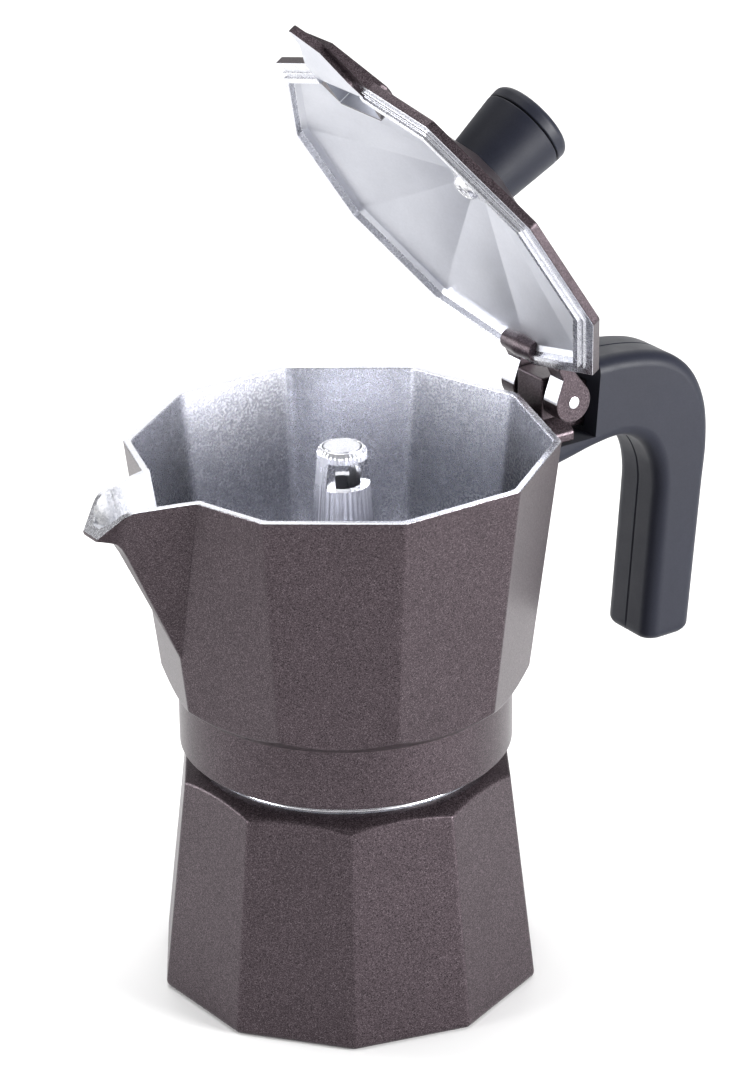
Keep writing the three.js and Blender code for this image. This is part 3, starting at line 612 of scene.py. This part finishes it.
def spout_channel():
    """The hollow of the spout, open upwards."""
    rings = []
    for i in range(SPOUT_STEPS + 1):
        x = SPOUT_ROOT_X + i * (NOSE_X + 0.6 - SPOUT_ROOT_X) / SPOUT_STEPS
        floor = keel(x - 1.6) + 2.3
        half = max(lip_half(x) - 1.75, 0.6)
        keel_half = min(0.5 + 1.3 * keel_share(x), half - 0.1)
        grow = (RIM_Z + 6 - floor) / max(lip_top(x) - floor, 1.0)
        wide = keel_half + (half - keel_half) * grow if lip_top(x) > floor + 1.5 else half + 0.4
        rings.append(spout_ring(x, min(wide, 14), RIM_Z + 6, keel_half, floor, 0.2, 0.7))
    return skinned("spout_channel", rings, [SANDY])


def column_outline(angle):
    """One side of the column, which is ribbed up its height."""
    rib = RIB_HIGH * math.cos(RIBS * angle)
    recess, recess_z = COLUMN_BORE_R + 0.4, COLUMN_TOP_Z - 2.2
    return filleted([
        (0, CUP_FLOOR_Z - 1), (COLUMN_FOOT_R + 3, CUP_FLOOR_Z - 1), (COLUMN_FOOT_R + 3, CUP_FLOOR_Z, 0.2),
        (COLUMN_FOOT_R + rib, CUP_FLOOR_Z + 2, 1.5), (COLUMN_TOP_R + rib, COLUMN_TOP_Z - 1.1, 0.8),
        (COLUMN_TOP_R - 0.8, COLUMN_TOP_Z, 0.4), (recess, COLUMN_TOP_Z, 0.1), (recess, recess_z),
        (0, recess_z)
    ], 4)


def make_collector():
    bore_end = 4 + 3  # four rows from the floor's hole down the bore, and three round its edge
    rim = len(cup_outline(0)) - (3 * 7 + 1)  # then three fillets of seven points, and the floor's hole

    def slot_at(row):
        """Bare under the seat and over the floor, machined from the rim down the inside, painted between."""
        if row < bore_end or row >= rim + 2 * 7:
            return 1
        return 2 if row >= rim + 2 else 0

    cup = turned("collector_body", cup_outline, facet_angles(), [PAINT, BARE, MACHINED], slot_at)
    wedge = spout_outside()
    carve(wedge, turned("cup_inside", lambda a: [
        (0, 60), (inside_reach(60, a), 60), (inside_reach(150, a), 150), (0, 150)], facet_angles(), [BARE]))
    carve(cup, wedge, "UNION")
    carve(cup, spout_channel())
    place(cup, "upper_unit", "paint", "collector")

    column = turned("collector_column", column_outline, even_angles(RIBS * 8), [BARE])
    low, high = 90, 133.9
    bore = lathe("column_bore", [(0, low), (COLUMN_BORE_R, low), (COLUMN_BORE_R, high), (0, high)], BARE, 64)
    carve(column, bore)
    for side in (-1, 1):
        low, high = sorted((side * WINDOW_DEPTH, side * 14))
        corners = [(-12, WINDOW_LOW), (12, WINDOW_LOW), (12, WINDOW_HIGH), (-12, WINDOW_HIGH)]
        carve(column, skinned("window", [[(x, y, z) for x, z in corners] for y in (low, high)], [MACHINED]))
    ease_edges(column, 0.15, 50, 2)
    place(column, "upper_unit", "bare_aluminium", "column")
    plug_r, low, high = COLUMN_BORE_R + 0.15, COLUMN_TOP_Z - 1.9, COLUMN_TOP_Z + 0.15
    plug = lathe("column_plug_disc", [(0, low), (plug_r, low), (plug_r, high, 0.35), (0, high)], MACHINED, 64)
    place(plug, "upper_unit", "bare_aluminium", "column_plug")

    lug = skinned("hinge_lug", [[(x, y, z) for y, z in [
        (-LUG_HALF, LUG_LOW), (LUG_HALF, LUG_LOW), (LUG_HALF, LUG_LOW + 2.4), (KNUCKLE_HALF, LUG_HIGH),
        (-KNUCKLE_HALF, LUG_HIGH), (-LUG_HALF, LUG_LOW + 2.4)]] for x in (49.3, LUG_X)], [PAINT])
    ease_edges(lug, 0.5)
    place(lug, "upper_unit", "paint")
    front, foot = HINGE_X - 4.8, LUG_HIGH - 1.2
    back = [(HINGE_X + EAR_R * math.cos(a), HINGE_Z + EAR_R * math.sin(a))
            for a in between(0, math.pi / 2, [k / 8 for k in range(9)])]
    knuckle = slab("hinge_knuckle", [(front, foot), (HINGE_X + 3.4, foot), *back, (front, HINGE_Z + EAR_R)],
                   -KNUCKLE_HALF, KNUCKLE_HALF, PAINT, 0.45)
    place(knuckle, "upper_unit", "paint")
    tongue = slab("handle_tongue", [(LUG_X - 2, TONGUE_LOW), (TONGUE_X, TONGUE_LOW), (TONGUE_X, TONGUE_HIGH),
                                    (HINGE_X + 4, TONGUE_HIGH), (LUG_X - 2, HINGE_Z - 3)],
                  -TONGUE_HALF, TONGUE_HALF, PAINT, 0.5)
    place(tongue, "upper_unit", "paint")


# ---- handle --------------------------------------------------------------------------------------

OUTER_LINE = [(42, 144.4), (62, 144.2), (78, 143.9), (90.5, 141.3), (98.8, 135.4), (103.2, 126.5),
              (104.2, 116), (103.2, 104), (101.5, 86), (99.7, 67)]
INNER_LINE = [(42, 116.4), (58.6, 119.4), (69, 121.7), (77, 122.3), (83.6, 119.4), (87.2, 113.6), (88.4, 107),
              (88, 100), (86.7, 84), (85.3, 67)]


def along(line, t):
    """A point on the smooth curve through a line's points, t from 0 to 1."""
    spot = (len(line) - 1) * t
    i = min(int(spot), len(line) - 2)
    w = spot - i
    p = [Vector(line[max(0, min(len(line) - 1, i + k))]) for k in (-1, 0, 1, 2)]
    a, b = (p[2] - p[0]) / 2, (p[3] - p[1]) / 2
    cubic, square = 2 * p[1] - 2 * p[2] + a + b, -3 * p[1] + 3 * p[2] - 2 * a - b
    return cubic * w ** 3 + square * w ** 2 + a * w + p[1]


def grip_ring(inner, outer, inset=0.0, seam=0.3):
    """A rounded rectangle across the handle, with the mould's parting line down its inner and outer faces."""
    across = outer - inner
    thick = across.length
    side = HANDLE_HALF - inset
    low, high = inset, thick - inset
    outline = filleted([
        (side, low, HANDLE_INNER_R), (side, high, HANDLE_OUTER_R),
        (0.35, high), (0, high - seam), (-0.35, high),
        (-side, high, HANDLE_OUTER_R), (-side, low, HANDLE_INNER_R),
        (-0.35, low), (0, low + seam), (0.35, low)
    ], 8)
    ring = []
    for y, t in outline:
        at = inner + across * (t / thick)
        ring.append((at.x, y, at.y))
    return ring


def make_handle():
    count = 84
    rings = [grip_ring(along(INNER_LINE, i / count), along(OUTER_LINE, i / count)) for i in range(count + 1)]
    inner, outer = along(INNER_LINE, 1), along(OUTER_LINE, 1)
    for drop, inset in ((0.7, 0.08), (1.4, 0.4), (2.0, 0.95), (2.35, 1.6), (2.5, 2.4)):
        down = Vector((-0.1, -1)) * drop
        rings.append(grip_ring(inner + down, outer + down, inset, 0.15))
    handle = skinned("handle_moulding", rings, [PLASTIC])
    corners = [(36, FOOT_TOP_Z), (HANDLE_FRONT_X, FOOT_TOP_Z), (HANDLE_FRONT_X + 2, 150), (36, 150)]
    carve(handle, skinned("front", [[(x, y, z) for x, z in corners] for y in (-20, 20)], [PLASTIC]))
    low, high, gap = 100, 150, 0.35

    def clear(z, angle):
        return (CUP_FOOT_R + CUP_SLOPE * (z - COLLAR_TOP_Z) + gap) * reach(angle)

    carve(handle, turned("cup", lambda a: [(0, low), (clear(low, a), low), (clear(high, a), high), (0, high)],
                         facet_angles(), [PLASTIC]))
    socket = skinned("socket", [[(x, y, z) for x, z in [
        (60, TONGUE_LOW - 0.4), (TONGUE_X + 0.6, TONGUE_LOW - 0.4), (TONGUE_X + 0.6, TONGUE_HIGH + 0.5),
        (60, TONGUE_HIGH + 0.5)]] for y in (-TONGUE_HALF - 0.4, TONGUE_HALF + 0.4)], [PLASTIC])
    carve(handle, socket)
    way = lathe("screw_way", [(0, 112), (4, 112), (4, 124.3), (2.1, 124.3), (2.1, 128), (0, 128)],
                PLASTIC, 48)
    way.data.transform(Matrix.Translation((HANDLE_SCREW_X * MM, 0, 0)))
    carve(handle, way)
    ease_edges(handle, 0.45, 48, 3)
    place(handle, "upper_unit", "plastic", "handle")


# ---- lid -----------------------------------------------------------------------------------------


def lid_outline(angle):
    """One side of the lid, drawn closed: out along the hollow's ceiling, down to the lip, round the flange's
    edge and back over the roof."""
    out = reach(angle, 0, 0.006)
    inn = reach(angle, 0, 0.01)
    edge = LID_Z + LID_EDGE
    lip_in, lip_out, lip_foot = 46.3 * inn, 48 * out, LID_Z - 1.3
    return filleted([
        (0, CEILING_Z), (CEILING_R * inn, CEILING_Z, 0.8), (45.2 * inn, LID_Z + 1.5, 0.4),
        (lip_in, LID_Z + 0.3, 0.3), (lip_in, lip_foot, 0.2), (lip_out, lip_foot, 0.2),
        (lip_out, LID_Z - 0.5, 0.1), (LIP_R * out, LID_Z - 0.5, 0.15), (LIP_R * out, LID_Z, 0.15),
        (LID_R * out, LID_Z, 0.3), (LID_R * out, edge, 0.35), (ROOF_FOOT_R * out, edge, 0.5),
        (ROOF_TOP_R * out, ROOF_TOP_Z, 1.2), (0, ROOF_TOP_Z)
    ], 4)


def flat_ring(x, half, low, high, ease=0.5):
    """A rectangle across X, its two upper corners eased."""
    outline = filleted([(half, low), (half, high, ease), (-half, high, ease), (-half, low)], 3)
    return [(x, y, z) for y, z in outline]


def fine(rings, steps):
    """Rings with straight steps put in between."""
    made = []
    for a, b in zip(rings, rings[1:]):
        for k in range(steps):
            made.append([tuple(between(p, q, [k / steps])[0] for p, q in zip(u, v)) for u, v in zip(a, b)])
    return made + [rings[-1]]


def under_is_bare(centre, normal):
    """Picks the second material for faces that look down."""
    return 1 if normal.z < -0.25 else 0


def make_lid():
    # rows are counted from the axis, over fillets of five points each
    ceiling_rows, lip_rows = 1 + 2 * 5, 1 + 8 * 5 + 2

    def slot_at(row):
        """Satin over the hollow, machined round the lip and under the flange, painted above."""
        if row < ceiling_rows:
            return 1
        return 2 if row < lip_rows else 0

    lid = turned("lid_body", lid_outline, facet_angles(), [PAINT, SATIN, MACHINED], slot_at)
    low = LID_Z + 0.02
    hood = skinned("hood", fine([
        flat_ring(-36, 8, low, 143.4), flat_ring(-43.2, 13.1, low, 141.9), flat_ring(-45, 13.6, low, 141.6),
        flat_ring(-46.6, 13.1, low, 141.3), flat_ring(-58.4, 6, low, 139.4)], 4), [PAINT])
    carve(lid, hood, "UNION")
    low = LID_Z - 3.1
    hollow = skinned("hollow", fine([
        flat_ring(-36.4, 8.33, low, 142.3), flat_ring(-45.57, 8.61, low, 138.9),
        flat_ring(-50.53, 8.23, low, 136.2)], 3), [SATIN])
    carve(lid, hollow)
    tongue = skinned("tongue", fine([
        flat_ring(-44.5, 9.3, 136.9, 139.4, 0.3), flat_ring(-50, 8.6, 136, 138.4, 0.3),
        flat_ring(-58, 4.2, 136, 138.3, 0.3), flat_ring(-65, 0.5, 134.5, 136.5, 0.3)], 4),
        [PAINT, SATIN], under_is_bare)
    carve(lid, tongue, "UNION")
    half, clear = EAR_IN - 0.1, 7.45
    notch = lathe("notch", [(0, -half), (clear, -half), (clear, half), (0, half)], PAINT)
    notch.data.transform(Matrix.Translation(HINGE) @ Matrix.Rotation(math.pi / 2, 4, "X"))
    carve(lid, notch)
    hole = lathe("hole", [(0, 140), (2.3, 140), (2.3, 160), (0, 160)], BARE, 48)
    carve(lid, hole)
    place(swing(lid), "lid_unit", "paint", "lid")

    outline = [(49.4, LID_Z + 0.4), (52.4, LID_Z), (HINGE_X - EAR_R * 0.85, HINGE_Z - EAR_R * 0.53)]
    outline += [(HINGE_X + EAR_R * math.cos(a), HINGE_Z + EAR_R * math.sin(a))
                for a in between(1.18 * math.pi, 2.5 * math.pi, [k / 36 for k in range(37)])]
    outline += [(51.4, HINGE_Z + 4.6), (49.4, 140.4)]
    for side, name in ((1, "lid_ear_far"), (-1, "lid_ear_near")):
        low, high = sorted((side * EAR_IN, side * EAR_OUT))
        ear = slab(name, outline, low, high, PAINT, 0.35)
        ear.data.materials.append(SATIN)
        for face in ear.data.polygons:
            if face.normal.x < -0.4 and face.normal.z < -0.4 and face.center.x < (HINGE_X - 3) * MM:
                face.material_index = 1
        place(swing(ear), "lid_unit", "paint")
    bridge = lathe("lid_bridge", [(0, -5.9), (2.5, -5.9, 0.3), (3.0, 0, 8), (2.5, 5.9, 0.3), (0, 5.9)],
                   PAINT, 48, 6)
    middle = Vector((44.8, 0, LID_Z + 0.6)) * MM
    bridge.data.transform(Matrix.Translation(middle) @ Matrix.Rotation(math.pi / 2, 4, "X"))
    place(swing(bridge), "lid_unit", "paint")


def make_knob():
    """The knob's body and the domed cap on it."""
    body = lathe("knob_body", [
        (0, KNOB_Z), (KNOB_BASE_R, KNOB_Z, 0.5), (KNOB_SEAM_R, KNOB_SEAM_Z, 0.35), (7.8, KNOB_SEAM_Z, 0.1),
        (7.8, KNOB_SEAM_Z - 3), (3.5, KNOB_SEAM_Z - 3), (3.5, KNOB_SEAM_Z - 4), (0, KNOB_SEAM_Z - 4)
    ], PLASTIC, 128)
    place(swing(body), "lid_unit", "plastic", "knob")
    seam = KNOB_SEAM_Z + 0.3
    cap = lathe("knob_cap_dome", [
        (0, KNOB_SEAM_Z - 2.7), (7.5, KNOB_SEAM_Z - 2.7), (7.5, seam), (KNOB_SEAM_R, seam, 0.35),
        (KNOB_SEAM_R, KNOB_SEAM_Z + 3.6, 3.0), (KNOB_SEAM_R - 5.5, KNOB_TOP_Z, 10), (0, KNOB_TOP_Z)
    ], PLASTIC, 128, 8)
    place(swing(cap), "lid_unit", "plastic", "knob_cap")


# ---- the carried-over parts ----------------------------------------------------------------------


def dress(node, material, width=0.12):
    """Gives a CAD part its finish, with welded, eased edges."""
    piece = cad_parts[node]
    piece.data.materials.clear()
    piece.data.materials.append(material)
    piece.data.polygons.foreach_set("use_smooth", [True] * len(piece.data.polygons))
    piece.modifiers.new("weld", "WELD").merge_threshold = 1e-6
    flats = piece.modifiers.new("flats", "DECIMATE")
    flats.decimate_type, flats.angle_limit = "DISSOLVE", math.radians(1)
    if width:
        ease_edges(piece, width, 40, 2)
    split = piece.modifiers.new("crisp", "EDGE_SPLIT")
    split.split_angle = math.radians(38)
    return piece


def make_stage():
    """A pale floor and an evenly lit white world."""
    size = 3000
    corners = [(-size, -size, 0), (size, -size, 0), (size, size, 0), (-size, size, 0)]
    floor = mesh_of("floor", corners, [(0, 1, 2, 3)], [])
    pale = Finish("pale_floor", Roughness=0.8)
    pale.drive("Base Color", pale.ramp(pale.noise(60, 2), (0.3, (0.88, 0.88, 0.88)), (0.7, (0.9, 0.9, 0.9))))
    floor.data.materials.append(pale.material)
    world = bpy.data.worlds.new("studio")
    world.use_nodes = True
    world.node_tree.nodes["Background"].inputs["Color"].default_value = (1, 1, 1, 1)
    world.node_tree.nodes["Background"].inputs["Strength"].default_value = 0.35
    bpy.context.scene.world = world


LAMP_AIM = Vector((0, 0, 0.09))


def lamp(name, position, size, power):
    """A round soft lamp aimed at the pot. Its position and size are in metres, its power in watts."""
    light = bpy.data.lights.new(name, "AREA")
    light.shape, light.size, light.energy = "DISK", size, power
    piece = bpy.data.objects.new(name, light)
    bpy.context.scene.collection.objects.link(piece)
    piece.location = position
    piece.visible_camera = False
    towards_pot = LAMP_AIM - Vector(position)
    piece.rotation_euler = towards_pot.to_track_quat("-Z", "Y").to_euler()


# the camera's bearing from the front, its height angle and its lean, then its distance and aim in metres
AZIMUTH, ELEVATION, ROLL = math.radians(-33.648), math.radians(23.746), math.radians(-0.827)
DISTANCE, TARGET = 0.9123, Vector((0, 0, 0.111912))


def make_camera():
    camera = bpy.data.objects.new("camera", bpy.data.cameras.new("camera"))
    bpy.context.scene.collection.objects.link(camera)
    level = math.cos(ELEVATION)
    away = Vector((math.sin(AZIMUTH) * level, -math.cos(AZIMUTH) * level, math.sin(ELEVATION)))
    right = Vector((math.cos(AZIMUTH), math.sin(AZIMUTH), 0))
    up = away.cross(right)
    x = math.cos(ROLL) * right + math.sin(ROLL) * up
    y = -math.sin(ROLL) * right + math.cos(ROLL) * up
    turn = Matrix((x, y, away)).transposed().to_4x4()
    camera.matrix_world = Matrix.Translation(TARGET + away * DISTANCE) @ turn
    camera.data.sensor_fit = "HORIZONTAL"
    camera.data.sensor_width = 36
    camera.data.lens = 185.67
    camera.data.shift_x = 0.0405
    camera.data.clip_start, camera.data.clip_end = 0.01, 20
    bpy.context.scene.camera = camera


make_camera()
make_stage()
lamp("overhead", (0.1, 0.3, 1.9), 1.5, 25)
lamp("right", (0.712, -1.232, 0.327), 0.7, 46)
lamp("far_left", (-0.915, 1.09, 0.327), 0.7, 12)
lamp("left", (-1.402, 0.247, 0.327), 0.7, 15)
lamp("behind", (0.9, 1.34, 1.15), 2.0, 11)
make_boiler()
make_collector()
make_handle()
make_lid()
make_knob()
for node, finish in {
    "valve_body": BRASS, "valve_nut": BRASS, "valve_retainer": BRASS, "knob_insert": BRASS,
    "valve_washer": SEAL, "gasket": SEAL, "valve_plunger": STEEL, "valve_spring": STEEL, "hinge_pin": STEEL,
    "handle_screw": STEEL, "knob_screw": STEEL, "knob_washer": STEEL, "funnel_cup": BARE, "funnel_tube": BARE,
    "funnel_strainer": BARE, "filter_plate": BARE,
}.items():
    dress(node, finish, 0.0 if node in ("valve_spring", "funnel_strainer", "filter_plate") else 0.12)

bpy.context.scene.view_settings.view_transform = "Standard"
